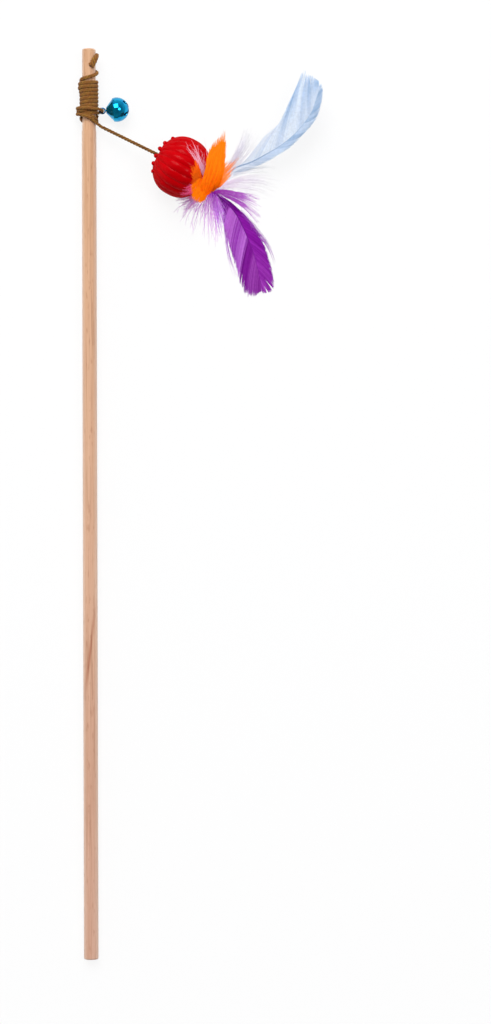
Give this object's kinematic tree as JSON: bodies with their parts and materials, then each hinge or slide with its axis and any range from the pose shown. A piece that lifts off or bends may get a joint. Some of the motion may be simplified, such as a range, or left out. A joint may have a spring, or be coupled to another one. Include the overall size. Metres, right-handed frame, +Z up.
{
  "type": "cat teaser wand",
  "caption": "Wooden rod with a cord wound on its tip that carries a small bell and a line to a ribbed ball trailing dyed feathers, for playing with a cat.",
  "frame": {"origin": "centre of the rod's butt face", "axes": "+Y along the rod from its butt to its tip, +Z up from the surface that the wand lies on, +X to the ball's side"},
  "size_m": [0.1375, 0.5, 0.0334],
  "materials": {
    "beech": "fine sanded, bare",
    "cord": "twisted brown cord",
    "thread": "wound thread",
    "bell_blue": "metallic blue lacquer",
    "pellet_steel": "plain",
    "ball_red": "glossy",
    "feather_blue": "barbed vane",
    "feather_purple": "barbed vane",
    "feather_orange": "soft down",
    "feather_lilac": "soft down",
    "feather_pale": "soft down"
  },
  "bodies": {
    "wand": {"rod": "beech", "cord_winding": "cord", "cord_hitch": "cord"},
    "line": {"cord_line": "cord"},
    "ball": {"ball_cord_half": "ball_red", "ball_feather_half": "ball_red", "cord_core": "cord", "cord_knot": "cord", "quill_binding": "thread", "orange_plume_upper": "feather_orange", "orange_plume_right": "feather_orange", "orange_plume_lower": "feather_orange", "violet_tuft": "feather_purple", "lilac_tuft": "feather_lilac", "pale_tuft": "feather_pale"},
    "bell": {"bell_crown": "bell_blue", "bell_mouth": "bell_blue", "bell_eye": "bell_blue"},
    "pellet": {"bell_pellet": "pellet_steel"},
    "blue": {"blue_feather": "feather_blue"},
    "purple": {"purple_feather": "feather_purple"}
  },
  "joints": [
    {"name": "line_lift", "type": "hinge", "parent": "wand", "child": "line", "pos_m": [0.00826, 0.45631, 0.00177], "axis": [-0.4664, -0.8846, 0], "range_deg": [-60, 100]},
    {"name": "ball_sway", "type": "hinge", "parent": "line", "child": "ball", "pos_m": [0.03993, 0.43962, 0.01073], "axis": [0, 0, 1], "range_deg": [-20, 20]},
    {"name": "bell_swing", "type": "hinge", "parent": "wand", "child": "bell", "pos_m": [0.00741, 0.46608, -0.00051], "axis": [0, 0, 1], "range_deg": [-18, 18]},
    {"name": "pellet_roll", "type": "hinge", "parent": "bell", "child": "pellet", "pos_m": [0.01528, 0.46677, -0.00051], "axis": [0.9962, 0.0872, 0], "continuous": true},
    {"name": "blue_bend", "type": "hinge", "parent": "ball", "child": "blue", "pos_m": [0.06715, 0.42182, 0.00348], "axis": [0, 0, 1], "range_deg": [-10, 10]},
    {"name": "purple_bend", "type": "hinge", "parent": "ball", "child": "purple", "pos_m": [0.06715, 0.42182, 0.00348], "axis": [0, 0, 1], "range_deg": [-10, 10]}
  ]
}
